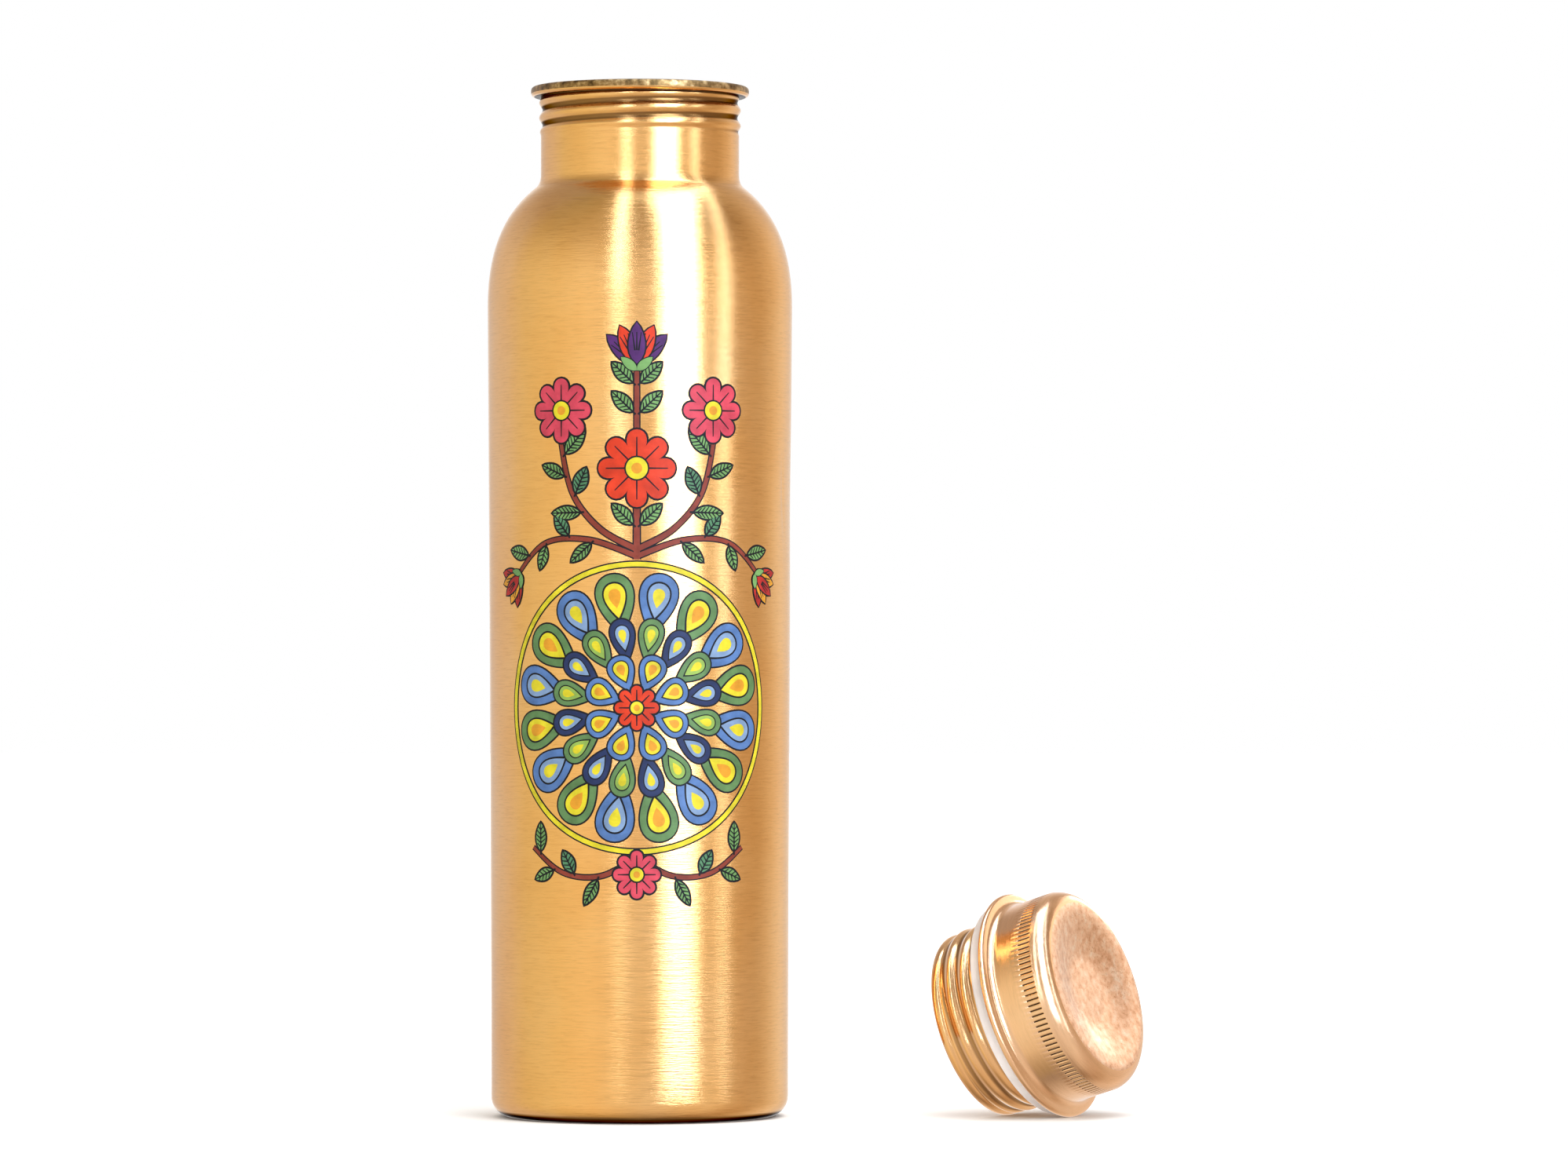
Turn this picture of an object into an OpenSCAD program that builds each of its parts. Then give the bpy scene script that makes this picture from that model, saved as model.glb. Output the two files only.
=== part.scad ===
// Copper water bottle standing open, with its screw cap lying beside it.
// Origin: centre of the underside where the bottle stands; +Z is the bottle axis.

/* [Bottle] */
// Greatest outside diameter, just under the shoulder
body_d = 74.6; // [60:0.2:90]
// Outside diameter just above the bottom corner
foot_d = 72.6; // [58:0.2:90]
// Height of the open bottle, to the top of the lip
body_h = 252; // [180:1:320]
// Sheet thickness
wall = 0.65; // [0.5:0.05:1.2]
// Radius of the rounded bottom corner
foot_r = 5; // [3:0.5:9]
// Height of the pressed-in floor above the table
floor_lift = 1.2; // [0.6:0.1:3]
// Height where the straight side turns into the shoulder
shoulder_z = 198; // [120:1:240]

/* [Neck] */
// Outside diameter of the straight neck
neck_d = 48.6; // [40:0.1:60]
// Height where the neck meets the shoulder
neck_z = 229; // [150:1:260]
// Outside diameter of the rolled lip
lip_d = 53.4; // [48:0.2:60]
// Height of the rolled lip
lip_h = 2.4; // [1.5:0.1:4]
// Pitch of the rolled thread
pitch = 3.8; // [3:0.1:5]
// Half height of the thread wave in the neck
neck_wave = 0.42; // [0.3:0.01:0.6]
// Where the neck thread starts, as a height along one pitch
neck_start = 0.7; // [0:0.1:3.8]

/* [Cap] */
// Diameter of the flange
flange_d = 56.8; // [52:0.2:62]
// Diameter of the knurled band
band_d = 50.4; // [46:0.2:56]
// Root diameter of the plug
plug_d = 45.2; // [40:0.1:50]
// Height of the thread ridge on the plug
plug_wave = 0.8; // [0.4:0.05:1]
// Length of the plug below the flange
plug_l = 18.4; // [14:0.2:24]
// Number of knurl strokes
knurl_n = 118; // [60:1:140]
// Depth of a knurl stroke
knurl_t = 0.22; // [0.1:0.02:0.3]
// Depth of the dish in the top
dish_t = 2.6; // [1:0.1:4]

/* [Gasket] */
// Outside diameter of the silicone ring
gasket_d = 53.4; // [50:0.2:56]
// Thickness of the silicone ring
gasket_h = 3.1; // [2:0.1:4]

/* [Cap pose] */
// Distance of the lying cap from the bottle axis
cap_x = 98.6; // [80:0.2:140]
// Turn of the lying cap towards the front
cap_turn = 28.4; // [0:0.1:60]

/* [Hidden] */
$fn = 96;
eps = 0.01;
seg = 48;
body_r = body_d / 2;
foot_or = foot_d / 2;
neck_r = neck_d / 2;
neck_ir = neck_r - wall;
lip_r = lip_d / 2;
lip_z = body_h - lip_h;
thread_z0 = lip_z - 9.2;
flange_r = flange_d / 2;
band_r = band_d / 2;
plug_r = plug_d / 2;
lip_s0 = -1.4;
gasket_s1 = lip_s0 - 0.02;
gasket_s0 = gasket_s1 - gasket_h;
knurl_s0 = 8.3;
knurl_s1 = 11.6;
top_c = 11.0;
top_r = 4.6;
// rounded edges of the flange and of the plug end, as section circles
lip_e = 0.8;
corner_e = 1.6;
lip_c = [flange_r - lip_e, lip_s0 + lip_e];
corner_c = [plug_r + 0.5 - corner_e, corner_e - plug_l];
// the lying cap rests on both of these edges
rest_a = lip_c[1] - corner_c[1];
rest_b = lip_c[0] - corner_c[0];
cap_tilt = atan2(rest_b, rest_a) + asin((lip_e - corner_e) / norm([rest_a, rest_b]));
cap_z = lip_c[0] * cos(cap_tilt) - lip_c[1] * sin(cap_tilt) + lip_e;

function lerp(a, b, t) = a + (b - a) * t;
function smooth(t) = let (c = min(1, max(0, t))) c * c * (3 - 2 * c);
function arc(cx, cy, r, a0, a1, n) = [for (i = [0:n]) let (a = lerp(a0, a1, i / n))
    [cx + r * cos(a), cy + r * sin(a)]];

// radius of the outside of the bottle at height z, from the straight side to the neck
function side_r(z) = lerp(foot_or, body_r, pow(z / shoulder_z, 1.5));
// the shoulder is one free curve from the straight side down into the neck
function bez(p, t) = let (u = 1 - t)
    u * u * u * p[0] + 3 * u * u * t * p[1] + 3 * u * t * t * p[2] + t * t * t * p[3];
function bez_d(p, t) = let (u = 1 - t)
    3 * u * u * (p[1] - p[0]) + 6 * u * t * (p[2] - p[1]) + 3 * t * t * (p[3] - p[2]);
sh_end = [neck_r + 1.15, neck_z - 1.7];
sh_curve = [[body_r, shoulder_z], [body_r, shoulder_z + 15],
    [neck_r + 8.45, neck_z - 7.4], sh_end];
foot_curve = [sh_end, sh_end + [-0.75, 0.75], [neck_r, neck_z], [neck_r, neck_z + 1.5]];
function shifted(p, t, d) = let (v = bez_d(p, t)) bez(p, t) + d * [-v[1], v[0]] / norm(v);
function shoulder(d) = concat(
    [for (i = [0:11]) shifted(sh_curve, i / 12, d)],
    [for (i = [0:4]) shifted(foot_curve, i / 4, d)]);

module bottle_profile() {
    inside = shoulder(wall);
    outer = concat(
        arc(foot_or - foot_r, foot_r, foot_r, -90, 0, 8),
        [for (z = [20:20:180]) [side_r(z), z]],
        shoulder(0),
        [[neck_r, thread_z0]]);
    inner = concat(
        [[neck_ir, thread_z0]],
        [for (i = [len(inside) - 1:-1:0]) inside[i]],
        [for (z = [180:-20:20]) [side_r(z) - wall, z]],
        arc(foot_or - foot_r, foot_r, foot_r - wall, 0, -46, 5),
        [[0, floor_lift + wall]]);
    under = [[0, floor_lift], [foot_or - foot_r - 3.4, floor_lift], [foot_or - foot_r - 2.0, 0]];
    polygon(concat(outer, inner, under));
}

// closed ring wall whose section waves up and down like a rolled thread
module wave_wall(z0, z1, rows, r_out, t_wall, amp, lead, fade, start, bias = 0) {
    h = z1 - z0;
    function env(z) = smooth((z - z0) / fade) * smooth((z1 - z) / fade);
    function pinch(z) = 0.13 * (1 - smooth(min(z - z0, z1 - z) / 0.9));
    function wave(z, a) = env(z) * (bias + amp * cos(360 * (z + start) / lead - a));
    n = rows + 1;
    pts = [for (j = [0:seg - 1]) let (a = 360 * j / seg) each concat(
        [for (i = [0:rows]) let (z = z0 + h * i / rows, r = r_out - pinch(z) + wave(z, a))
            [r * cos(a), r * sin(a), z]],
        [for (i = [rows:-1:0]) let (z = z0 + h * i / rows, r = r_out - t_wall + pinch(z) + wave(z, a))
            [r * cos(a), r * sin(a), z]])];
    m = 2 * n;
    tris = [for (j = [0:seg - 1], i = [0:m - 1]) let (
        a = j * m + i, b = j * m + (i + 1) % m,
        c = ((j + 1) % seg) * m + (i + 1) % m, d = ((j + 1) % seg) * m + i)
        each [[a, b, c], [a, c, d]]];
    polyhedron(points = pts, faces = tris, convexity = 6);
}

module bottle_shell() {
    color([0.85, 0.55, 0.34]) {
        rotate_extrude() bottle_profile();
        wave_wall(thread_z0 - 0.7, lip_z + 0.5, 18, neck_r, wall, neck_wave, pitch, 2.2,
            neck_start);
        rotate_extrude() polygon(concat(
            [[neck_ir, body_h - 0.5], [neck_ir, lip_z]],
            [[lip_r - 0.9, lip_z]],
            arc(lip_r - 0.9, lip_z + 0.9, 0.9, -60, 0, 3),
            arc(lip_r - 0.9, body_h - 0.9, 0.9, 0, 90, 4),
            [[neck_ir + 0.5, body_h]]));
    }
}

// places a sub-part drawn about its own axis into the lying pose
module lying() {
    translate([cap_x, 0, cap_z])
        rotate([0, 0, -cap_turn])
            rotate([0, 90 - cap_tilt, 0])
                children();
}

function dish(r) = top_c + top_r - dish_t * (1 - smooth((r - 7) / (band_r - top_r - 7)));

module cap_shell_profile() {
    lip = concat(
        [[band_r - wall, lip_s0], [lip_c[0], lip_s0]],
        arc(lip_c[0], lip_c[1], lip_e, -60, 75, 5),
        arc(band_r + 2.0, 2.35, 2.0, 262, 180, 6));
    top = concat(
        [[band_r, top_c]],
        arc(band_r - top_r, top_c, top_r, 15, 90, 5),
        [for (r = [19:-2:7]) [r, dish(r)]],
        [[0, dish(0)]]);
    under = concat(
        [[0, dish(0) - wall]],
        [for (r = [7:2:19]) [r, dish(r) - wall]],
        arc(band_r - top_r, top_c, top_r - wall, 90, 0, 6));
    polygon(concat(lip, top, under));
}

module cap_shell() {
    color([0.87, 0.57, 0.36]) lying() difference() {
        rotate_extrude() cap_shell_profile();
        for (i = [0:knurl_n - 1]) rotate([0, 0, 360 * i / knurl_n])
            translate([band_r - knurl_t, -0.2, knurl_s0]) cube([1, 0.4, knurl_s1 - knurl_s0]);
    }
}

module cap_plug() {
    color([0.83, 0.53, 0.32]) lying() {
        // closed cup end
        rotate_extrude() polygon(concat(
            [[0, -plug_l], [corner_c[0], -plug_l]],
            arc(corner_c[0], corner_c[1], corner_e, -70, 42, 7),
            [[plug_r, -15.4], [plug_r - wall, -15.4]],
            arc(corner_c[0] - 0.5, corner_c[1], corner_e - wall, 0, -70, 5),
            [[corner_c[0] - 0.9, -plug_l + wall], [0, -plug_l + wall]]));
        // the ridge stands off the plug's root, so it catches in the groove of the neck
        wave_wall(-16.1, -5.5, 20, plug_r, wall, plug_wave / 2, pitch, 2.0, 0, 0.5);
        // collar through the gasket and the flange that the shell is closed over
        rotate_extrude() polygon([
            [plug_r - wall, -6.0], [plug_r, -6.0], [plug_r, lip_s0],
            [band_r - wall - 0.04, lip_s0], [band_r - wall - 0.04, lip_s0 + wall],
            [plug_r - wall, lip_s0 + wall]]);
    }
}

module gasket() {
    color([0.9, 0.89, 0.88]) lying() rotate_extrude() {
        polygon(concat(
            [[plug_r + 0.25, gasket_s0], [gasket_d / 2 - 0.6, gasket_s0]],
            arc(gasket_d / 2 - 0.6, gasket_s0 + 0.6, 0.6, -60, 0, 3),
            arc(gasket_d / 2 - 0.6, gasket_s1 - 0.6, 0.6, 0, 60, 3),
            [[gasket_d / 2 - 0.6, gasket_s1], [plug_r + 0.25, gasket_s1]]));
    }
}

bottle_shell();
gasket();
cap_shell();
cap_plug();
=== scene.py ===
"""Copper water bottle, open, with its screw cap lying beside it."""
import math
import bpy
from mathutils import Matrix, Vector

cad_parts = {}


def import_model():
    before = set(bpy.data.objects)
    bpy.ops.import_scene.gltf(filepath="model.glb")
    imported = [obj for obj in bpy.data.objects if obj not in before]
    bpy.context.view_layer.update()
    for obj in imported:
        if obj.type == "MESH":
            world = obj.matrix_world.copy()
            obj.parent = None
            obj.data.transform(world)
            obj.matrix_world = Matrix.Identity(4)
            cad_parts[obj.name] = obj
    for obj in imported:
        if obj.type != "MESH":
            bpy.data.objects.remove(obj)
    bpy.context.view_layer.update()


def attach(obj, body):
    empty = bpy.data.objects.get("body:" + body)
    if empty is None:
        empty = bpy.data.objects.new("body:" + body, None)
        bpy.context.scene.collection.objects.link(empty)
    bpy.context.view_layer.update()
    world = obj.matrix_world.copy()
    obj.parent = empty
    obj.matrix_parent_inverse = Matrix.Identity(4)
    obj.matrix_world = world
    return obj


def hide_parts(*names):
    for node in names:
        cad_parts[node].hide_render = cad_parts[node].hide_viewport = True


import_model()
MM = 0.001

# ------------------------------------------------------------------ sizes, as in the CAD, in mm
BODY_R, FOOT_R, FOOT_E = 37.3, 36.3, 5.0
BODY_H, WALL, LIFT, SHOULDER_Z = 252.0, 0.65, 1.2, 198.0
NECK_R, NECK_Z, LIP_R, LIP_H = 24.3, 229.0, 26.7, 2.4
PITCH, NECK_WAVE, THREAD_PHASE = 3.8, 0.42, 0.7
NECK_IR, LIP_Z = NECK_R - WALL, BODY_H - LIP_H
THREAD_Z0 = LIP_Z - 9.2
THREAD_RISE = 0.7
THREAD_FADE = 2.2
PLUG_THREAD, PLUG_FADE = (-16.1, -5.5), 2.0
FLANGE_R, BAND_R, PLUG_R, PLUG_L, PLUG_WAVE = 28.4, 25.2, 22.6, 18.4, 0.8
KNURL_N, KNURL_T, KNURL_S0, KNURL_S1 = 118, 0.22, 8.3, 11.6
DISH_T, TOP_C, TOP_R = 2.6, 11.0, 4.6
LIP_S0, LIP_E, CORNER_E = -1.4, 0.8, 1.6
GASKET_R, GASKET_H = 26.7, 3.1
GASKET_S1 = LIP_S0 - 0.02
GASKET_S0 = GASKET_S1 - GASKET_H
CAP_X, CAP_TURN = 98.6, 28.4
LIP_C = (FLANGE_R - LIP_E, LIP_S0 + LIP_E)
CORNER_C = (PLUG_R + 0.5 - CORNER_E, CORNER_E - PLUG_L)
REST_A, REST_B = LIP_C[1] - CORNER_C[1], LIP_C[0] - CORNER_C[0]
TILT = math.atan2(REST_B, REST_A) + math.asin((LIP_E - CORNER_E) / math.hypot(REST_A, REST_B))
CAP_Z = LIP_C[0] * math.cos(TILT) - LIP_C[1] * math.sin(TILT) + LIP_E
LYING = (Matrix.Translation((CAP_X * MM, 0, CAP_Z * MM))
         @ Matrix.Rotation(math.radians(-CAP_TURN), 4, "Z")
         @ Matrix.Rotation(math.pi / 2 - TILT, 4, "Y"))


def lerp(a, b, t):
    return a + (b - a) * t


def smooth(t):
    t = min(1.0, max(0.0, t))
    return t * t * (3 - 2 * t)


def arc(cx, cy, r, a0, a1, n):
    return [(cx + r * math.cos(math.radians(lerp(a0, a1, i / n))),
             cy + r * math.sin(math.radians(lerp(a0, a1, i / n)))) for i in range(n + 1)]


def side_r(z):
    return lerp(FOOT_R, BODY_R, (z / SHOULDER_Z) ** 1.5)


def bezier(p, t, d=0.0):
    """Point at t on a cubic, moved d to its left."""
    u = 1 - t
    q = [u ** 3 * p[0][k] + 3 * u * u * t * p[1][k] + 3 * u * t * t * p[2][k] + t ** 3 * p[3][k]
         for k in (0, 1)]
    v = [3 * u * u * (p[1][k] - p[0][k]) + 6 * u * t * (p[2][k] - p[1][k]) + 3 * t * t * (p[3][k] - p[2][k])
         for k in (0, 1)]
    n = math.hypot(*v)
    return (q[0] - d * v[1] / n, q[1] + d * v[0] / n)


# ------------------------------------------------------------------ node materials
def new_material(name):
    m = bpy.data.materials.new(name)
    m.use_nodes = True
    return m, m.node_tree, m.node_tree.nodes["Principled BSDF"]


def node(nt, kind, **values):
    n = nt.nodes.new(kind)
    for k, v in values.items():
        setattr(n, k, v)
    return n


def own_place(nt):
    return node(nt, "ShaderNodeAttribute", attribute_name="own_place").outputs["Vector"]


def noise(nt, coord, scale_xyz, scale=1.0, detail=3.0, rough=0.55):
    mp = node(nt, "ShaderNodeMapping")
    mp.inputs["Scale"].default_value = scale_xyz
    nt.links.new(coord, mp.inputs["Vector"])
    n = node(nt, "ShaderNodeTexNoise")
    n.inputs["Scale"].default_value = scale
    n.inputs["Detail"].default_value = detail
    n.inputs["Roughness"].default_value = rough
    nt.links.new(mp.outputs["Vector"], n.inputs["Vector"])
    return n.outputs["Fac"]


def ramp(nt, fac, stops):
    r = node(nt, "ShaderNodeValToRGB")
    e = r.color_ramp.elements
    while len(e) < len(stops):
        e.new(0.5)
    for i, (pos, col) in enumerate(stops):
        e[i].position = pos
        e[i].color = (*col, 1.0)
    nt.links.new(fac, r.inputs["Fac"])
    return r.outputs["Color"]


def spread(nt, fac, lo, hi):
    r = node(nt, "ShaderNodeMapRange")
    r.inputs["From Min"].default_value = 0.3
    r.inputs["From Max"].default_value = 0.7
    r.inputs["To Min"].default_value = lo
    r.inputs["To Max"].default_value = hi
    nt.links.new(fac, r.inputs["Value"])
    return r.outputs["Result"]


def mix(nt, kind, fac, a, b):
    m = node(nt, "ShaderNodeMix", data_type="RGBA", blend_type=kind)
    for sock, v in ((m.inputs[0], fac), (m.inputs[6], a), (m.inputs[7], b)):
        if isinstance(v, bpy.types.NodeSocket):
            nt.links.new(v, sock)
        else:
            sock.default_value = v
    return m.outputs[2]


def bump(nt, shader, height, strength, distance, before=None):
    b = node(nt, "ShaderNodeBump")
    b.inputs["Strength"].default_value = strength
    b.inputs["Distance"].default_value = distance
    nt.links.new(height, b.inputs["Height"])
    if before:
        nt.links.new(before, b.inputs["Normal"])
    if shader:
        nt.links.new(b.outputs["Normal"], shader.inputs["Normal"])
    return b.outputs["Normal"]


# colour and sheen of the painted shade in the grooves, under the lip and along the foot
PAINTED_SHADE_COLOUR = (0.12, 0.08, 0.05, 1.0)
PAINTED_SHADE_SHEEN = (0.1, 0.08, 0.07, 1.0)


def copper(name, dark, mid, light, rough, streak=1.0, brush=True):
    """Brushed or mottled copper; the brushing runs round the piece's Z axis. A point attribute darkens it as
    painted shade in the grooves and the other shaded places.
    """
    m, nt, sh = new_material(name)
    co = own_place(nt)
    fine = noise(nt, co, (240, 240, 2700) if brush else (1600, 1600, 1600), detail=4.0, rough=0.65)
    long = noise(nt, co, (60, 60, 1900) if brush else (260, 260, 260), detail=3.0)
    cloud = noise(nt, co, (28, 28, 18) if brush else (520, 520, 520), detail=4.0)
    tone = ramp(nt, cloud, [(0.28, dark), (0.5, mid), (0.74, light)])
    grain = ramp(nt, fine, [(0.25, (0.74, 0.7, 0.66)), (0.5, (0.98, 0.98, 0.98)), (0.75, (1, 1, 1))])
    sweep = ramp(nt, long, [(0.3, (0.93, 0.92, 0.91)), (0.6, (1, 1, 1))])
    col = mix(nt, "MULTIPLY", 0.55 * streak, tone, grain)
    col = mix(nt, "MULTIPLY", 0.6 * streak, col, sweep)
    # painted shade: a point attribute darkens the colour and the sheen here
    shade_amount = node(nt, "ShaderNodeAttribute", attribute_name="painted_shade").outputs["Fac"]
    col = mix(nt, "MULTIPLY", shade_amount, col, PAINTED_SHADE_COLOUR)
    nt.links.new(col, sh.inputs["Base Color"])
    sheen = mix(nt, "MULTIPLY", shade_amount, (1, 1, 1, 1), PAINTED_SHADE_SHEEN)
    nt.links.new(sheen, sh.inputs["Specular Tint"])
    sh.inputs["Metallic"].default_value = 1.0
    nt.links.new(spread(nt, fine, rough[0], rough[1]), sh.inputs["Roughness"])
    fine_grooves = bump(nt, None, fine, 0.26 * streak, 0.0002)
    bump(nt, sh, long, 0.06 * streak, 0.0003, before=fine_grooves)
    return m


# dark, middle and light tone, range of roughness, strength of the grain
BODY_COPPER = copper(
    "brushed_copper", (0.90, 0.46, 0.14), (0.95, 0.53, 0.19), (0.96, 0.58, 0.25), (0.11, 0.2))
CAP_COPPER = copper(
    "satin_copper", (0.92, 0.49, 0.24), (0.96, 0.57, 0.31), (0.98, 0.63, 0.38), (0.13, 0.24), 0.6)
DISH_COPPER = copper(
    "mottled_copper", (0.74, 0.38, 0.20), (0.94, 0.57, 0.35), (1.0, 0.76, 0.56), (0.24, 0.42), 1.3,
    brush=False)
PLUG_COPPER = copper(
    "bright_copper", (0.84, 0.42, 0.15), (0.91, 0.50, 0.21), (0.95, 0.58, 0.30), (0.1, 0.2), 0.5)
SCALE_COPPER = copper(
    "rough_edge_copper", (0.08, 0.045, 0.015), (0.31, 0.18, 0.065), (0.84, 0.58, 0.27), (0.28, 0.5),
    brush=False)
SLOT_COPPER = copper(
    "oxide_in_strokes", (0.03, 0.015, 0.007), (0.07, 0.035, 0.015), (0.12, 0.06, 0.025), (0.4, 0.6), 0.8,
    brush=False)


def silicone():
    m, nt, sh = new_material("silicone")
    co = own_place(nt)
    cloud = noise(nt, co, (90, 90, 90), detail=3.0)
    speck = noise(nt, co, (2400, 2400, 2400), detail=2.0)
    tone = ramp(nt, cloud, [(0.3, (0.64, 0.61, 0.61)), (0.7, (0.76, 0.73, 0.73))])
    nt.links.new(tone, sh.inputs["Base Color"])
    nt.links.new(spread(nt, speck, 0.32, 0.5), sh.inputs["Roughness"])
    sh.inputs["Subsurface Weight"].default_value = 0.35
    sh.inputs["Subsurface Radius"].default_value = (0.004, 0.0035, 0.003)
    sh.inputs["Subsurface Scale"].default_value = 1.0
    bump(nt, sh, speck, 0.12, 0.0001)
    return m


# ------------------------------------------------------------------ turned and rolled shapes
def solid(name, verts, faces, materials, indices=None, place=None, shade_amount=None):
    """A mesh from millimetre points. Each point keeps its place in the piece's own frame, for materials."""
    me = bpy.data.meshes.new(name)
    own = [Vector(v) * MM for v in verts]
    me.from_pydata([place @ v for v in own] if place else own, [], faces)
    at = me.attributes.new("own_place", "FLOAT_VECTOR", "POINT")
    at.data.foreach_set("vector", [c for v in own for c in v])
    # how much painted shade each point gets
    if shade_amount:
        me.attributes.new("painted_shade", "FLOAT", "POINT").data.foreach_set("value", shade_amount)
    for m in materials:
        me.materials.append(m)
    if indices:
        me.polygons.foreach_set("material_index", indices)
    me.polygons.foreach_set("use_smooth", [True] * len(me.polygons))
    me.update()
    ob = bpy.data.objects.new(name, me)
    bpy.context.scene.collection.objects.link(ob)
    return ob


def turned(name, loop, seg, materials, shift=None, pick=None, place=None, shade_at=None):
    """Revolves a closed (radius, height) loop. shift(k, r, z, a) moves a point outward; pick(k, j) is a
    face's slot; shade_at(k, r, z, a) is how much painted shade a point gets."""
    verts, rings, shade_amount = [], [], []
    for k, (r, z) in enumerate(loop):
        if r < 1e-6:
            rings.append([len(verts)])
            verts.append((0, 0, z))
            shade_amount.append(0.0)
            continue
        start = len(verts)
        for j in range(seg):
            a = 2 * math.pi * j / seg
            q = r + (shift(k, r, z, a) if shift else 0.0)
            verts.append((q * math.cos(a), q * math.sin(a), z))
            shade_amount.append(shade_at(k, r, z, a) if shade_at else 0.0)
        rings.append(list(range(start, start + seg)))
    faces, slots = [], []
    for k in range(len(loop)):
        a, b = rings[k], rings[(k + 1) % len(loop)]
        if len(a) == 1 and len(b) == 1:
            continue
        for j in range(seg):
            i = (j + 1) % seg
            if len(a) == 1:
                f = (a[0], b[i], b[j])
            elif len(b) == 1:
                f = (a[j], a[i], b[0])
            else:
                f = (a[j], a[i], b[i], b[j])
            faces.append(f)
            slots.append(pick(k, j) if pick else 0)
    return solid(name, verts, faces, materials, slots, place, shade_amount if shade_at else None)


def rolled(z, a, z0, z1, amp, fade, phase, bias=0.0):
    """Height of a rolled thread's wave at height z and angle a."""
    if not z0 < z < z1:
        return 0.0
    env = smooth((z - z0) / fade) * smooth((z1 - z) / fade)
    c = math.cos(2 * math.pi * ((z + phase) / PITCH - a / (2 * math.pi)))
    return env * (bias + amp * c)


def neck_thread(z, a, amp):
    return rolled(z, a, THREAD_Z0 - THREAD_RISE, LIP_Z + 0.5, amp, THREAD_FADE, THREAD_PHASE)


def dent(z, a):
    """The shallow knock halfway up the right side, in mm, with the crease beside it."""
    d = math.degrees(a)
    d = d - 360 if d > 180 else d
    wide = math.exp(-((d + 12) / 13) ** 2 - ((z - 150) / 16) ** 2)
    crease = math.exp(-((d + 17 + (z - 150) * 0.18) / 1.6) ** 2 - ((z - 151) / 8) ** 2)
    return -0.45 * wide - 0.16 * crease


def bottle():
    bend = (NECK_R + 1.15, NECK_Z - 1.7)
    slope = [(BODY_R, SHOULDER_Z), (BODY_R, SHOULDER_Z + 15), (NECK_R + 8.45, NECK_Z - 7.4), bend]
    root = [bend, (bend[0] - 0.75, bend[1] + 0.75), (NECK_R, NECK_Z), (NECK_R, NECK_Z + 1.5)]

    def shoulder(d):
        return [bezier(slope, i / 30, d) for i in range(30)] + [bezier(root, i / 8, d) for i in range(9)]

    sides = [10 + 2.5 * i for i in range(75)]
    thread = [THREAD_Z0 - THREAD_RISE + (LIP_Z - THREAD_Z0 + THREAD_RISE) * i / 60 for i in range(60)]
    outer = ([(0, LIFT), (FOOT_R - FOOT_E - 3.4, LIFT), (FOOT_R - FOOT_E - 2.9, LIFT - 0.25)]
             + [(FOOT_R - FOOT_E - 2.2, 0.12), (FOOT_R - FOOT_E - 1.8, 0)]
             + arc(FOOT_R - FOOT_E, FOOT_E, FOOT_E, -90, 0, 14)
             + [(side_r(z), z) for z in sides] + shoulder(0)
             + [(NECK_R, z) for z in (232, 234, 236, 238)] + [(NECK_R, z) for z in thread])
    lip = ([(NECK_R + 0.05, LIP_Z), (NECK_R + 0.25, LIP_Z + 0.05), (LIP_R - 0.9, LIP_Z)]
           + arc(LIP_R - 0.9, LIP_Z + 0.9, 0.9, -75, 0, 6) + arc(LIP_R - 0.9, BODY_H - 0.9, 0.9, 0, 90, 7)
           + [(LIP_R - 1.7, BODY_H), (NECK_IR + 0.9, BODY_H)]
           + arc(NECK_IR + 0.6, BODY_H - 0.6, 0.6, 100, 180, 5))
    inner = ([(NECK_IR, z) for z in reversed(thread)] + [(NECK_IR, z) for z in (238, 236, 234, 232)]
             + list(reversed(shoulder(WALL))) + [(side_r(z) - WALL, z) for z in reversed(sides)]
             + arc(FOOT_R - FOOT_E, FOOT_E, FOOT_E - WALL, 0, -46, 8)
             + [(FOOT_R - FOOT_E - 1.5, LIFT + WALL), (0, LIFT + WALL)])
    n_out, n_lip = len(outer), len(lip)
    floor_points, foot_points = 6, 24

    def shift(k, r, z, a):
        if THREAD_Z0 - THREAD_RISE < z < LIP_Z and r < NECK_R + 1:
            return neck_thread(z, a, NECK_WAVE)
        if 40 < z < 196 and r > 30:
            return dent(z, a)
        return 0.0

    def pick(k, j):
        return 1 if n_out + 8 <= k < n_out + n_lip - 2 else 0

    def shade_at(k, r, z, a):
        # painted shade on the underside of the base
        if k < floor_points:
            return 0.9
        # painted contact shadow: a dark line along the bottom edge
        if k < foot_points and z < 2.4:
            return 0.97 * smooth((2.0 - z) / 0.9)
        # painted shade in the thread grooves, and a painted shadow just under the lip
        if k < n_out and z > THREAD_Z0 - 2:
            low = neck_thread(z, a, 1.0)
            return min(1.0, 0.8 * smooth(-1.7 * low - 0.2) + 0.95 * smooth((z - LIP_Z + 0.7) / 0.6))
        # painted shadow on the underside of the lip
        return 0.9 if n_out <= k < n_out + 3 else 0.0

    return turned("bottle_body", outer + lip + inner, 384,
                  [BODY_COPPER, SCALE_COPPER], shift, pick, None, shade_at)


def dish(r):
    return TOP_C + TOP_R - DISH_T * (1 - smooth((r - 7) / (BAND_R - TOP_R - 7)))


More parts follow.
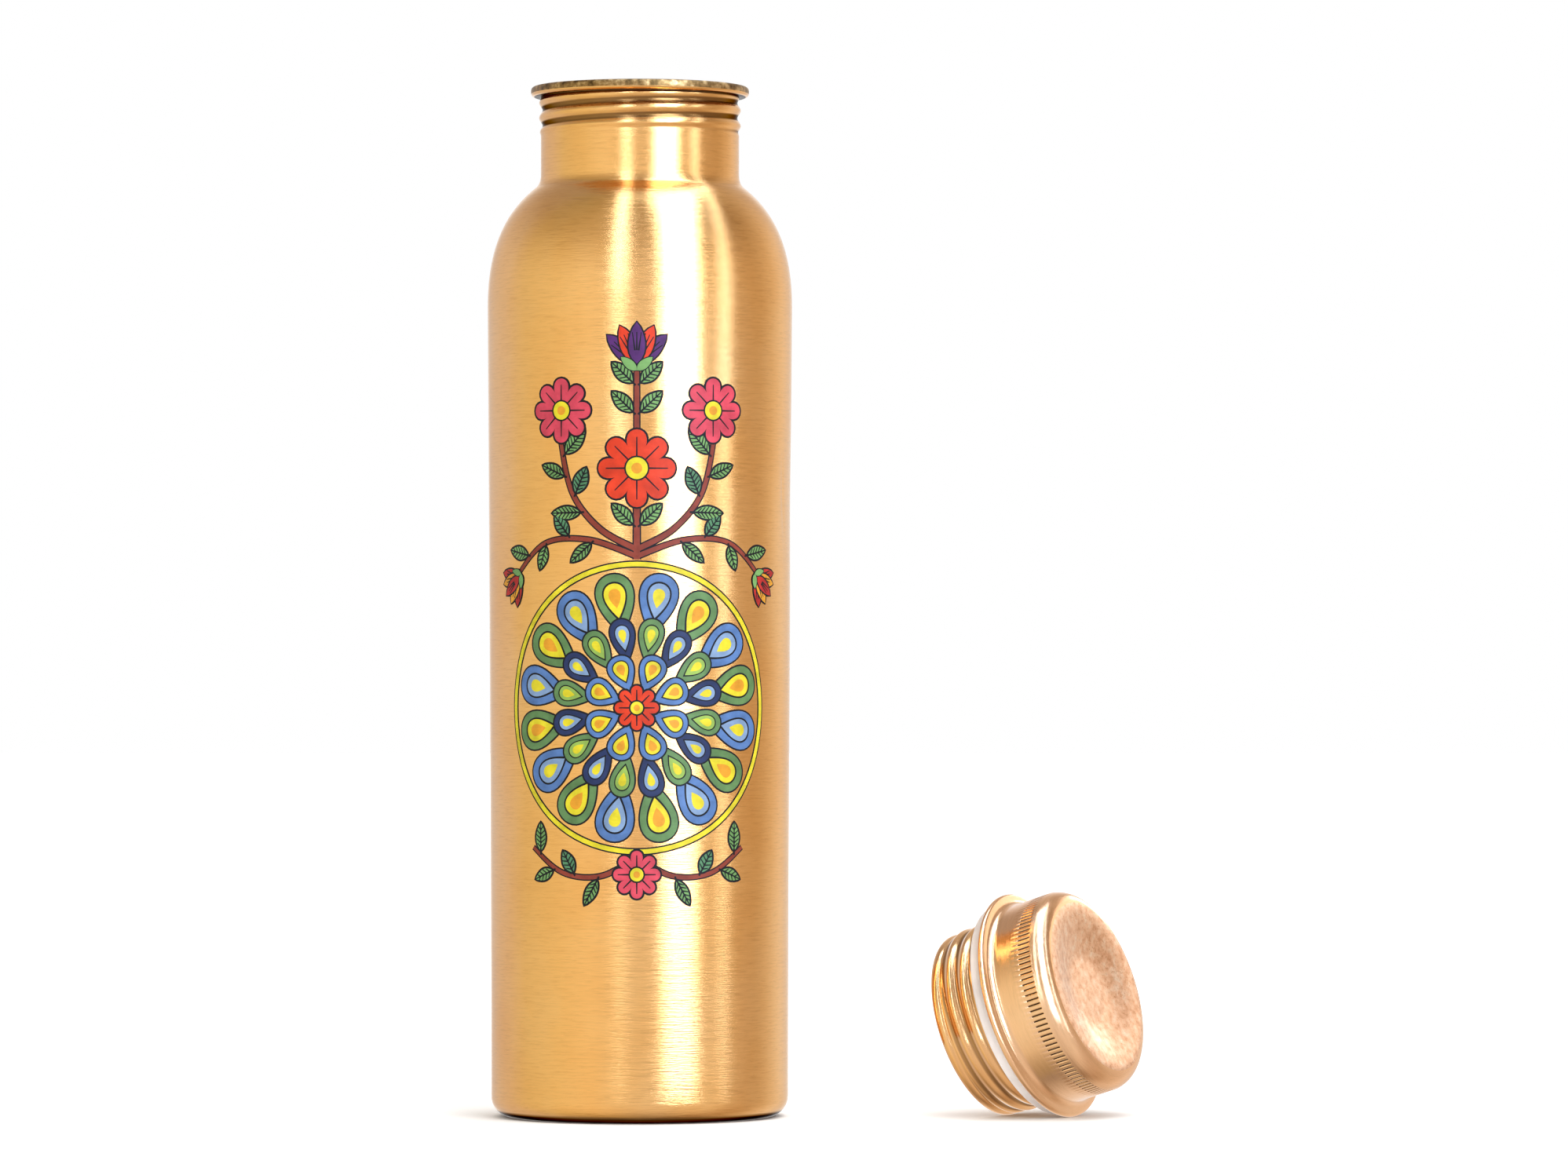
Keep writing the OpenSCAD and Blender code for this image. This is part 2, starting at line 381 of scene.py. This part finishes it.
def cap_shell():
    lip = [(BAND_R - WALL, LIP_S0), (LIP_C[0], LIP_S0)] + arc(*LIP_C, LIP_E, -75, 75, 10)
    lip += arc(BAND_R + 2.0, 2.35, 2.0, 262, 180, 10)
    band = [(BAND_R, 4.0), (BAND_R, 6.0), (BAND_R, KNURL_S0 - 0.12)]
    knurl0 = len(lip) + len(band)
    knurl_end = knurl0 + 6
    knurl = [(BAND_R, KNURL_S0 + (KNURL_S1 - KNURL_S0) * i / 6) for i in range(7)]
    top = [(BAND_R - 0.02, 11.72)]
    top += [p for p in arc(BAND_R - TOP_R, TOP_C, TOP_R, 11, 90, 16) if p[1] > 11.75]
    hollow = [(r * 0.5, dish(r * 0.5)) for r in range(40, 0, -1)] + [(0, dish(0))]
    top += hollow
    under = ([(0, dish(0) - WALL)] + [(r, dish(r) - WALL) for r in (4, 7, 9, 11, 13, 15, 17, 19)]
             + arc(BAND_R - TOP_R, TOP_C, TOP_R - WALL, 90, 0, 8) + [(BAND_R - WALL, 4.0)])
    per = 8  # points round for each stroke of the knurl

    def shift(k, r, z, a):
        if not knurl0 <= k <= knurl_end:
            return 0.0
        step = round(a / (2 * math.pi) * KNURL_N * per) % per
        depth = {0: 1.0, 1: 0.85, 7: 0.85}.get(step, 0.0)
        ends = 0.6 if k in (knurl0, knurl_end) else 1.0
        return -KNURL_T * depth * ends

    under0 = knurl0 + len(knurl) + len(top)
    dish0 = under0 - len(hollow) - 3  # the mottled finish starts just outside the hollow

    def pick(k, j):
        if dish0 <= k < under0:
            return 2
        return 1 if knurl0 <= k < knurl_end and j % per in (0, 7) else 0

    return turned("cap_outer", lip + band + knurl + top + under, KNURL_N * per,
                  [CAP_COPPER, SLOT_COPPER, DISH_COPPER], shift, pick, LYING)


def cap_plug():
    zs = [-15.3 + 9.8 * i / 84 for i in range(85)]
    outer = ([(0, -PLUG_L), (8, -PLUG_L), (16, -PLUG_L), (CORNER_C[0] - 0.5, -PLUG_L)]
             + arc(*CORNER_C, CORNER_E, -80, 42, 14) + [(PLUG_R + 0.03, -15.45)] + [(PLUG_R, z) for z in zs]
             + [(PLUG_R, -4), (PLUG_R, LIP_S0)])
    rim = [(BAND_R - WALL - 0.04, LIP_S0), (BAND_R - WALL - 0.04, LIP_S0 + WALL)]
    inner = ([(PLUG_R - WALL, LIP_S0 + WALL), (PLUG_R - WALL, -4)]
             + [(PLUG_R - WALL, z) for z in reversed(zs)]
             + arc(CORNER_C[0] - 0.5, CORNER_C[1], CORNER_E - WALL, 0, -80, 8)
             + [(12, -PLUG_L + WALL), (0, -PLUG_L + WALL)])

    def shift(k, r, z, a):
        if abs(r - PLUG_R) < 0.01 or abs(r - PLUG_R + WALL) < 0.01:
            return rolled(z, a, *PLUG_THREAD, PLUG_WAVE / 2, PLUG_FADE, 0.0, 0.5)
        return 0.0

    def shade_at(k, r, z, a):
        # painted shade in the grooves of the thread
        low = rolled(z, a, *PLUG_THREAD, 1.0, PLUG_FADE, 0.0)
        return 0.55 * smooth(-1.4 * low - 0.2) if -16 < z < -5 else 0.0

    return turned("cap_threaded_plug", outer + rim + inner, 288, [PLUG_COPPER], shift, None, LYING, shade_at)


def gasket():
    e = 0.6
    loop = ([(PLUG_R + 0.4, GASKET_S0)] + arc(GASKET_R - e, GASKET_S0 + e, e, -90, 0, 8)
            + arc(GASKET_R - e, GASKET_S1 - e, e, 0, 90, 8) + [(PLUG_R + 0.4, GASKET_S1)]
            + [(PLUG_R + 0.25, GASKET_S1 - 0.2), (PLUG_R + 0.25, GASKET_S0 + 0.2)])

    def shift(k, r, z, a):
        return 0.05 * math.sin(3 * a + 0.6) - 0.05 if r > GASKET_R - 1.5 else 0.0

    return turned("silicone_ring", loop, 192, [silicone()], shift, None, LYING)


body_ob = bottle()
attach(body_ob, "bottle")
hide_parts("bottle_shell")
shell_ob = cap_shell()
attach(shell_ob, "cap")
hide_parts("cap_shell")
plug_ob = cap_plug()
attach(plug_ob, "cap")
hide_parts("cap_plug")
ring_ob = gasket()
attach(ring_ob, "ring")
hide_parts("gasket")
# the lying cap would show in the side of the bottle as a strong orange streak
CAP_PIECES = (shell_ob, plug_ob, ring_ob)
for ob in CAP_PIECES:
    ob.visible_glossy = False

# ------------------------------------------------------------------ the printed decoration
# A plain rosette with flowering branches, the same on its left and right, laid on the body as thin enamel.
# Points are (u, z) in mm: u runs round the body from its front, z is the height. Each level lies on the
# one below.
def srgb(r, g, b):
    return tuple(((c / 255 + 0.055) / 1.055) ** 2.4 for c in (r, g, b))


INKS = {
    "black": srgb(22, 22, 28), "yellow": srgb(240, 226, 46), "gold": srgb(240, 168, 44),
    "green": srgb(104, 146, 92), "lime": srgb(158, 196, 92), "blue": srgb(92, 132, 196),
    "navy": srgb(40, 56, 104), "sky": srgb(140, 172, 216), "red": srgb(196, 44, 40),
    "orange": srgb(228, 62, 22), "pink": srgb(222, 74, 96), "purple": srgb(88, 38, 116),
    "brown": srgb(146, 62, 46), "leaf": srgb(124, 176, 104),
    "teal": srgb(88, 144, 104)}
INK_STRENGTH = 0.66
FINEST = 1.1  # mm between the points that follow the body's curve
PRINT_R = 37.0  # mm, radius on which u is measured
OUTLINE = 0.4
LOWEST, LAYER = 0.035, 0.006  # mm above the metal, and from level to level
LEAF_LEVEL, FLOWER_LEVEL = 2, 8


def enamel(name, colour):
    m, nt, sh = new_material("enamel_" + name)
    co = node(nt, "ShaderNodeTexCoord").outputs["Object"]
    wash = noise(nt, co, (240, 240, 240), detail=4.0)
    grain = noise(nt, co, (300, 300, 4200), detail=3.0)
    colour = tuple(c * INK_STRENGTH for c in colour)
    dark = tuple(c * 0.74 for c in colour)
    light = tuple(min(1.0, c * 1.2 + 0.004) for c in colour)
    base = ramp(nt, wash, [(0.3, dark), (0.52, colour), (0.74, light)])
    streaks = ramp(nt, grain, [(0.3, (0.86, 0.86, 0.86)), (0.6, (1, 1, 1))])
    nt.links.new(mix(nt, "MULTIPLY", 0.5, base, streaks), sh.inputs["Base Color"])
    nt.links.new(spread(nt, grain, 0.42, 0.6), sh.inputs["Roughness"])
    sh.inputs["Specular IOR Level"].default_value = 0.2
    bump(nt, sh, grain, 0.12, 0.0001)
    return m


def part_way(p, q, t):
    return (lerp(p[0], q[0], t), lerp(p[1], q[1], t))


class Print:
    """Flat shapes gathered by ink, each wrapped on the bottle at its own level."""

    def __init__(self):
        self.inks = {}

    def wrap(self, u, z, level):
        a = u / PRINT_R
        r = side_r(z) + dent(z, a - math.pi / 2) + LOWEST + LAYER * level
        return (r * math.sin(a), -r * math.cos(a), z)

    def rows(self, ink, level, rows, closed):
        """Quads between rows of points."""
        verts, faces = self.inks.setdefault(ink, ([], []))
        base = len(verts)
        n = len(rows[0])
        for row in rows:
            verts.extend(self.wrap(u, z, level) for u, z in row)
        for i in range(len(rows) - 1):
            for j in range(n if closed else n - 1):
                a, b = base + i * n + j, base + i * n + (j + 1) % n
                faces.append((a, b, b + n, a + n))

    def between(self, ink, level, one, other, closed):
        """Fills the strip between two lines of as many points."""
        gap = max(math.dist(p, q) for p, q in zip(one, other))
        m = max(1, math.ceil(gap / FINEST))
        lines = [[part_way(p, q, i / m) for p, q in zip(one, other)] for i in range(m + 1)]
        self.rows(ink, level, lines, closed)

    def band(self, ink, level, outer, inner):
        self.between(ink, level, outer, inner, True)

    def fan(self, ink, level, rim, centre):
        small = [part_way(centre, p, 0.04) for p in rim]
        self.band(ink, level, rim, small)
        verts, faces = self.inks[ink]
        n = len(rim)
        faces.append(tuple(range(len(verts) - n, len(verts))))

    def stroke(self, ink, level, pts, width, end):
        """A brush line; end is its width at the far end."""
        line = []
        for p, q in zip(pts, pts[1:]):
            m = max(1, math.ceil(math.dist(p, q) / FINEST))
            line += [part_way(p, q, k / m) for k in range(m)]
        line.append(pts[-1])
        left, right = [], []
        for i, (u, z) in enumerate(line):
            a, b = line[max(0, i - 1)], line[min(len(line) - 1, i + 1)]
            du, dz = b[0] - a[0], b[1] - a[1]
            n = math.hypot(du, dz) or 1.0
            h = lerp(width, end, i / max(1, len(line) - 1)) / 2
            left.append((u - dz / n * h, z + du / n * h))
            right.append((u + dz / n * h, z - du / n * h))
        self.between(ink, level, left, right, False)

    def build(self):
        for ink, (verts, faces) in sorted(self.inks.items()):
            ob = solid("print_" + ink, verts, faces, [enamel(ink, INKS[ink])])
            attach(ob, "bottle")


art = Print()


def curve(pts):
    """Smooth line through points, ten steps between each two."""
    steps = 10
    out = []
    p = [pts[0]] + list(pts) + [pts[-1]]
    for before, start, end, after in zip(p, p[1:], p[2:], p[3:]):
        for k in range(steps):
            t = k / steps
            out.append(tuple(0.5 * (2 * s + (e - b) * t + (2 * b - 5 * s + 4 * e - a) * t * t
                                    + (3 * s - b - 3 * e + a) * t ** 3)
                             for b, s, e, a in zip(before, start, end, after)))
    out.append(tuple(pts[-1]))
    return out


def even(pts, n):
    """The same line with n + 1 evenly spaced points."""
    run = [0.0]
    for a, b in zip(pts, pts[1:]):
        run.append(run[-1] + math.dist(a, b))
    out, k = [], 0
    for i in range(n + 1):
        d = run[-1] * i / n
        while k < len(pts) - 2 and run[k + 1] < d:
            k += 1
        t = (d - run[k]) / max(1e-9, run[k + 1] - run[k])
        out.append(part_way(pts[k], pts[k + 1], t))
    return out


def turned_to(u, z, deg, x, y):
    """A point x across and y along the direction deg, from (u, z)."""
    c, s = math.cos(math.radians(deg)), math.sin(math.radians(deg))
    return (u + y * c + x * s, z + y * s - x * c)


DROP_FOCUS = -0.3  # where a drop shrinks to, in half lengths from its middle


def drop_shape(u, z, deg, w, l, s):
    """Teardrop with its tip along deg; w and l are about half its width and length, s its scale."""
    rim = []
    for i in range(36):
        t = 2 * math.pi * i / 36
        x = w * 1.39 * math.sin(t) * math.sin(t / 2) ** 1.1
        y = l * math.cos(t)
        rim.append(turned_to(u, z, deg, x * s, DROP_FOCUS * l + (y - DROP_FOCUS * l) * s))
    return rim


def grown(rim, d):
    """A closed line moved out by d."""
    n = len(rim)
    cu, cz = sum(p[0] for p in rim) / n, sum(p[1] for p in rim) / n
    out = []
    for i, (u, z) in enumerate(rim):
        a, b = rim[i - 1], rim[(i + 1) % n]
        du, dz = b[0] - a[0], b[1] - a[1]
        m = math.hypot(du, dz) or 1.0
        nu, nz = dz / m, -du / m
        if nu * (u - cu) + nz * (z - cz) < 0:
            nu, nz = -nu, -nz
        out.append((u + nu * d, z + nz * d))
    return out


def drop(u, z, deg, w, l, level, inks):
    """Drop with its tip along deg: dark outline, coloured ring, bright middle."""
    ring, soft, core = inks
    middle = turned_to(u, z, deg, 0, DROP_FOCUS * l)
    art.fan("black", level, grown(drop_shape(u, z, deg, w, l, 1.0), OUTLINE), middle)
    for k, (size, ink) in enumerate(((1.0, ring), (0.66, "black"), (0.57, soft), (0.32, core))):
        art.fan(ink, level + 1 + k, drop_shape(u, z, deg, w, l, size), middle)


def leaf(u, z, deg, l, w, ink="leaf"):
    """Pointed leaf from its stalk end at (u, z), with a midrib and side veins."""
    rim = []
    for side in (1, -1):
        for i in range(12):
            t = i / 12 if side > 0 else 1 - i / 12
            half = (w / 2) * math.sin(math.pi * t) ** 0.8 * (1.12 - 0.3 * t)
            rim.append(turned_to(u, z, deg, side * half, l * t))
    middle = turned_to(u, z, deg, 0, l / 2)
    art.fan("black", LEAF_LEVEL, grown(rim, 0.36), middle)
    art.fan(ink, LEAF_LEVEL + 1, grown(rim, -0.14), middle)
    midrib = [turned_to(u, z, deg, 0, l * t) for t in (-0.12, 0.2, 0.5, 0.8, 0.97)]
    art.stroke("black", LEAF_LEVEL + 2, midrib, 0.5, 0.3)
    count = max(4, int(l / 1.05))
    for i in range(1, count):
        t = i / count * 0.86
        reach = (w / 2) * math.sin(math.pi * min(1, t + 0.12)) ** 0.8 * 0.86
        for side in (1, -1):
            vein = [turned_to(u, z, deg, 0, l * t), turned_to(u, z, deg, side * reach, l * (t + 0.14))]
            art.stroke("black", LEAF_LEVEL + 2, vein, 0.36, 0.26)


def branch(pts, width, end):
    line = curve(pts)
    art.stroke("black", 0, line, width + 0.66, end + 0.6)
    art.stroke("brown", 1, line, width, end)


def petal_rim(u, z, deg, near, far, half, grow):
    """Rounded petal from radius near to far round (u, z), moved out by grow."""
    mid, ray = (near + far) / 2, (far - near) / 2
    out = []
    for i in range(22):
        t = 2 * math.pi * i / 22
        bulge = 1 + 0.34 * math.cos(t)
        across = (half + grow) * math.sin(t) * bulge
        out.append(turned_to(u, z, deg, across, mid + (ray + grow) * math.cos(t)))
    return out


def ring_of(u, z, radius, n):
    """A circle of n points."""
    return [turned_to(u, z, 360 * i / n, 0, radius) for i in range(n)]


def daisy(u, z, radius, petals, level=FLOWER_LEVEL):
    """Flower of eight plain rounded petals, each with one line, round a plain middle."""
    core = radius * 0.28
    half = radius * 0.25
    for i in range(8):
        deg = 90 + 360 * i / 8
        c = turned_to(u, z, deg, 0, radius * 0.66)
        art.fan("black", level, petal_rim(u, z, deg, core * 0.7, radius, half, OUTLINE), c)
        art.fan(petals, level + 1, petal_rim(u, z, deg, core * 0.7, radius, half, -0.06), c)
        vein = [turned_to(u, z, deg, 0, radius * t) for t in (0.3, 0.55, 0.8)]
        art.stroke("black", level + 2, vein, 0.42, 0.26)
    for k, (ink, size) in enumerate((("black", core + OUTLINE), ("yellow", core), ("gold", core * 0.5))):
        art.fan(ink, level + 4 + k, ring_of(u, z, size, 32), (u, z))


def spike_rim(u, z, deg, length, half):
    """Pointed petal from (u, z) along deg."""
    side = [(half * math.sin(math.pi * i / 8) ** 0.7 * (1 - 0.35 * i / 8), length * i / 8) for i in range(9)]
    pts = [turned_to(u, z, deg, x, y) for x, y in side]
    return pts + [turned_to(u, z, deg, -x, y) for x, y in side[-2:0:-1]]


def tulip(u, z, deg, size, outer, inner):
    """Plain cup flower opening along deg."""
    base = turned_to(u, z, deg, 0, -size * 0.35)
    for k, (turn, ink) in enumerate(((-46, outer), (46, outer), (-24, inner), (24, inner), (0, outer))):
        level = FLOWER_LEVEL + 2 * k
        rim = spike_rim(*base, deg + turn, size * 1.25, size * 0.3)
        c = turned_to(*base, deg + turn, 0, size * 0.55)
        art.fan("black", level, grown(rim, OUTLINE), c)
        art.fan(ink, level + 1, rim, c)
        for off in (-8, 0, 8):
            line = [turned_to(*base, deg + turn + off, 0, size * t) for t in (0.4, 0.95)]
            art.stroke("black", level + 2, line, 0.4, 0.22)
    stalk = turned_to(u, z, deg, 0, -size * 0.55)
    for turn in (-50, 50):
        rim = spike_rim(*stalk, deg + turn, size * 0.62, size * 0.16)
        c = turned_to(*stalk, deg + turn, 0, size * 0.3)
        art.fan("black", FLOWER_LEVEL + 13, grown(rim, 0.24), c)
        art.fan("leaf", FLOWER_LEVEL + 14, rim, c)


def along(pts, t):
    """Point and direction at the part t of a smooth line."""
    line = even(curve(pts), 60)
    k = min(59, int(t * 60))
    (u0, z0), (u1, z1) = line[k], line[k + 1]
    return u0, z0, math.degrees(math.atan2(z1 - z0, u1 - u0))


def leaves(pts, parts, length, width, first):
    """Leaves on either side of a branch in turn, starting on the side that first gives."""
    for i, t in enumerate(parts):
        u, z, deg = along(pts, t)
        side = first if i % 2 == 0 else -first
        away = deg - side * 52
        l = length * (1.08 if i % 3 == 0 else 0.94)
        w = width * (1.0 if i % 2 else 0.88)
        leaf(*turned_to(u, z, away, 0, 0.9), away, l, w, "teal" if i % 3 == 1 else "leaf")


def rosette(u, z):
    """Three rings of drops round a daisy, inside a plain border."""
    art.band("black", 4, ring_of(u, z, 35.4, 96), ring_of(u, z, 33.6, 96))
    art.band("yellow", 5, ring_of(u, z, 35.05, 96), ring_of(u, z, 33.95, 96))
    rings = (  # distance from the middle, how many, half width, half length, level, inks in turn
        (25.2, 16, 4.4, 7.4, 8, (("green", "yellow", "gold"), ("blue", "sky", "yellow"))),
        (16.4, 16, 2.8, 5.2, 14, (("navy", "sky", "yellow"), ("green", "lime", "yellow"))),
        (8.8, 8, 3.0, 4.4, 20, (("blue", "yellow", "gold"),)))
    for far, count, w, l, level, inks in rings:
        for i in range(count):
            deg = 90 + 360 * (i + 0.5) / count
            drop(*turned_to(u, z, deg, 0, far), deg + 180, w, l, level, inks[i % len(inks)])
    daisy(u, z, 5.4, "orange", 26)


def sprays():
    """Branches, leaves and flowers above and below the rosette, the same on both sides."""
    stem = [(0.0, 135.6), (0.0, 150.0), (0.0, 166.0), (0.0, 181.0)]
    branch(stem, 1.5, 1.1)
    for side in (1, -1):
        rising = [(side * u, z) for u, z in (
            (0.0, 138.0), (9.0, 143.0), (16.0, 151.5), (19.0, 163.0), (19.0, 168.0))]
        falling = [(side * u, z) for u, z in ((0.0, 136.4), (12.0, 140.4), (24.0, 139.6), (33.6, 132.0))]
        below = [(side * u, z) for u, z in ((0.0, 64.0), (9.0, 59.6), (19.0, 60.4), (28.0, 66.4))]
        branch(rising, 1.3, 0.9)
        branch(falling, 1.2, 0.8)
        branch(below, 1.2, 0.8)
        leaves(rising, (0.42, 0.54, 0.67, 0.8), 7.4, 3.8, side)
        leaves(falling, (0.3, 0.48, 0.66, 0.82), 6.6, 3.4, side)
        leaves(below, (0.34, 0.54, 0.72, 0.9), 6.6, 3.4, side)
        for z in (144.0, 171.0, 178.0):
            leaf(side * 0.9, z, 90 - side * 46, 7.2, 3.6)
        daisy(side * 19.0, 171.5, 7.8, "pink")
        tulip(side * 34.6, 130.4, 90 - side * 128, 5.8, "red", "gold")
    daisy(0.0, 157.5, 9.4, "orange")
    daisy(0.0, 60.0, 5.8, "pink")
    tulip(0.0, 185.4, 90, 8.0, "purple", "orange")


rosette(0.0, 100.0)
sprays()
art.build()

# ------------------------------------------------------------------ floor, light, camera
LIGHT_FAR = 1.3
FLOOR_Z = -2e-5


def floor():
    """White paper that glows, so that it stays pale; the glow is weaker close to the part and where ambient
    occlusion finds things near, a painted contact shadow.
    """
    me = bpy.data.meshes.new("floor")
    me.from_pydata([(x, y, FLOOR_Z) for x, y in ((-6, -6), (6, -6), (6, 9), (-6, 9))], [], [(0, 1, 2, 3)])
    ob = bpy.data.objects.new("floor", me)
    bpy.context.scene.collection.objects.link(ob)
    m, nt, sh = new_material("paper_floor")
    co = node(nt, "ShaderNodeTexCoord").outputs["Object"]
    fibre = noise(nt, co, (30, 30, 30))
    tone = ramp(nt, fibre, [(0.3, (0.63, 0.635, 0.64)), (0.7, (0.66, 0.665, 0.67))])
    nt.links.new(tone, sh.inputs["Base Color"])
    sh.inputs["Roughness"].default_value = 0.9
    sh.inputs["Specular IOR Level"].default_value = 0.1
    sh.inputs["Emission Color"].default_value = (1, 1, 1, 1)
    reach = node(nt, "ShaderNodeVectorMath", operation="LENGTH")
    nt.links.new(co, reach.inputs[0])
    glow = node(nt, "ShaderNodeMapRange")
    glow.inputs["From Min"].default_value = 0.1
    glow.inputs["From Max"].default_value = 0.7
    glow.inputs["To Min"].default_value = 0.64
    glow.inputs["To Max"].default_value = 0.9
    nt.links.new(reach.outputs["Value"], glow.inputs["Value"])
    # painted contact shadow: the glow is multiplied by ambient occlusion near the parts
    near = node(nt, "ShaderNodeAmbientOcclusion", samples=8)
    near.inputs["Distance"].default_value = 0.022
    fade = node(nt, "ShaderNodeMath", operation="MULTIPLY")
    nt.links.new(glow.outputs["Result"], fade.inputs[0])
    nt.links.new(near.outputs["AO"], fade.inputs[1])
    nt.links.new(fade.outputs[0], sh.inputs["Emission Strength"])
    me.materials.append(m)
    ob.visible_glossy = False


def bent_strip(name, seen_at, width_deg, radiance, foot=1.0, mirrored=True):
    """A strip light bent up and over the bottle, so that its reflection runs up the wall and the shoulder at
    one angle, seen_at, from the front. Seven flat panels, each turned to the neck of the bottle. The
    mirrored ones are cool, so that copper shows them white; the other one lights what doesn't mirror."""
    th = math.radians(seen_at)
    far, eye = LIGHT_FAR, Vector((0, 0, 0.17))
    front = Vector((math.sin(th), -math.cos(th), 0))
    back = Vector((0, 1, 0))

    def way(deg):
        t = math.radians(deg)
        return 2 * math.cos(th) * math.cos(t) * (math.cos(t) * front + math.sin(t) * Vector((0, 0, 1))) + back

    steps = (-4, -1, 2, 8, 20, 32, 44, 56)
    power = (foot, (1 + 2 * foot) / 3, (2 + foot) / 3, 1.0, 0.9, 0.8, 0.6)
    for i, (t0, t1) in enumerate(zip(steps, steps[1:])):
        p, q = eye + far * way(t0), eye + far * way(t1)
        mid, up = (p + q) / 2, (q - p).normalized()
        li = bpy.data.lights.new(name, "AREA")
        li.shape = "RECTANGLE"
        li.color = (0.56, 0.72, 1.0) if mirrored else (1.0, 1.0, 1.0)
        li.size = 2 * far * math.tan(math.radians(width_deg / 2))
        li.size_y = (q - p).length * 1.02
        li.energy = radiance * power[i] * math.pi * li.size * li.size_y
        ob = bpy.data.objects.new(name, li)
        bpy.context.scene.collection.objects.link(ob)
        out = (mid - eye).normalized()
        side = up.cross(out).normalized()
        out = side.cross(up)
        ob.matrix_world = Matrix.Translation(mid) @ Matrix((side, up, out)).transposed().to_4x4()
        ob.visible_camera = False
        ob.visible_glossy = mirrored
        ob.visible_diffuse = not mirrored


def panel(name, azimuth, height_deg, wide_deg, tall_deg, radiance):
    """Flat light at an azimuth and height from the lying cap, linked to the cap's pieces only."""
    a, e = math.radians(azimuth), math.radians(height_deg)
    way = Vector((math.sin(a) * math.cos(e), -math.cos(a) * math.cos(e), math.sin(e)))
    li = bpy.data.lights.new(name, "AREA")
    li.shape = "RECTANGLE"
    li.size, li.size_y = (2 * LIGHT_FAR * math.tan(math.radians(d / 2)) for d in (wide_deg, tall_deg))
    li.energy = radiance * math.pi * li.size * li.size_y
    ob = bpy.data.objects.new(name, li)
    bpy.context.scene.collection.objects.link(ob)
    ob.location = Vector((0.09, 0, 0.03)) + LIGHT_FAR * way
    ob.rotation_euler = (-way).to_track_quat("-Z", "Y").to_euler()
    ob.visible_camera = False
    ob.visible_diffuse = False
    return ob


def world():
    """A soft studio, its tone changing round and up, which the camera sees as plain white."""
    w = bpy.data.worlds.new("studio")
    bpy.context.scene.world = w
    w.use_nodes = True
    nt = w.node_tree
    bg = nt.nodes["Background"]
    co = node(nt, "ShaderNodeTexCoord").outputs["Generated"]
    sep = node(nt, "ShaderNodeSeparateXYZ")
    nt.links.new(co, sep.inputs[0])
    azimuth = node(nt, "ShaderNodeMath", operation="ARCTAN2")
    toward = node(nt, "ShaderNodeMath", operation="MULTIPLY")
    toward.inputs[1].default_value = -1.0
    nt.links.new(sep.outputs["Y"], toward.inputs[0])
    nt.links.new(sep.outputs["X"], azimuth.inputs[0])
    nt.links.new(toward.outputs[0], azimuth.inputs[1])
    turn = node(nt, "ShaderNodeMapRange")
    turn.inputs["From Min"].default_value = -math.pi
    turn.inputs["From Max"].default_value = math.pi
    nt.links.new(azimuth.outputs[0], turn.inputs["Value"])

    def at(deg):
        return (deg + 180) / 360

    col = ramp(nt, turn.outputs["Result"], [
        (at(-172), (1.0, 1.0, 1.0)), (at(-160), (0.70, 0.66, 0.64)), (at(-120), (0.76, 0.75, 0.80)),
        (at(-98), (0.80, 0.78, 0.62)), (at(-68), (0.90, 0.86, 0.66)), (at(-38), (1.02, 1.0, 0.88)),
        (at(-5), (0.86, 0.84, 0.82)), (at(60), (0.86, 0.82, 0.78)), (at(84), (0.64, 0.54, 0.46)),
        (at(104), (0.60, 0.50, 0.40)), (at(118), (0.74, 0.66, 0.58)),
        (at(138), (0.92, 0.88, 0.84)), (at(160), (0.80, 0.74, 0.68)), (at(172), (1.0, 1.0, 1.0))])
    lift = node(nt, "ShaderNodeMapRange")
    lift.inputs["From Min"].default_value = -1.0
    nt.links.new(sep.outputs["Z"], lift.inputs["Value"])
    tall = ramp(nt, lift.outputs["Result"], [
        (0.01, (0.5, 0.44, 0.38)), (0.1, (0.86, 0.8, 0.74)), (0.26, (1, 0.97, 0.94)), (0.46, (1, 1, 1)),
        (0.62, (1, 1, 1)), (0.82, (0.64, 0.60, 0.56)), (1.0, (0.5, 0.48, 0.46))])
    studio = mix(nt, "MULTIPLY", 1.0, col, tall)
    seen = node(nt, "ShaderNodeLightPath").outputs["Is Camera Ray"]
    nt.links.new(mix(nt, "MIX", seen, studio, (1.0, 1.0, 1.0, 1.0)), bg.inputs["Color"])
    bg.inputs["Strength"].default_value = 1.0


def camera():
    """Nearly level, 1.75 m away; its focal length is 9100 pixels of an image 1997 wide."""
    cam = bpy.data.cameras.new("camera")
    ob = bpy.data.objects.new("camera", cam)
    bpy.context.scene.collection.objects.link(ob)
    cam.sensor_width = 36.0
    cam.lens = 36.0 * 9100 / 1997
    cam.clip_start = 0.01
    cam.clip_end = 50
    ob.location = (0.0353, -1.75, 0.106)
    ob.rotation_euler = (math.radians(90 + 0.765), 0, 0)
    bpy.context.scene.camera = ob


floor()
world()
bent_strip("strip_left", -7, 4, 9.5, 0.15)
bent_strip("box_right", 15.5, 24, 8.5)
bent_strip("strip_right", 33.5, 4, 5.0)
bent_strip("key", 13, 28, 4.2, mirrored=False)
lit = bpy.data.collections.new("lit_by_panels")
for ob in CAP_PIECES:
    lit.objects.link(ob)
for spec in (("panel_cap", 128, 24, 44, 22, 0.8), ("panel_dish", 153, 19, 12, 14, 4.0)):
    panel(*spec).light_linking.receiver_collection = lit
camera()
bpy.context.scene.view_settings.view_transform = "Standard"
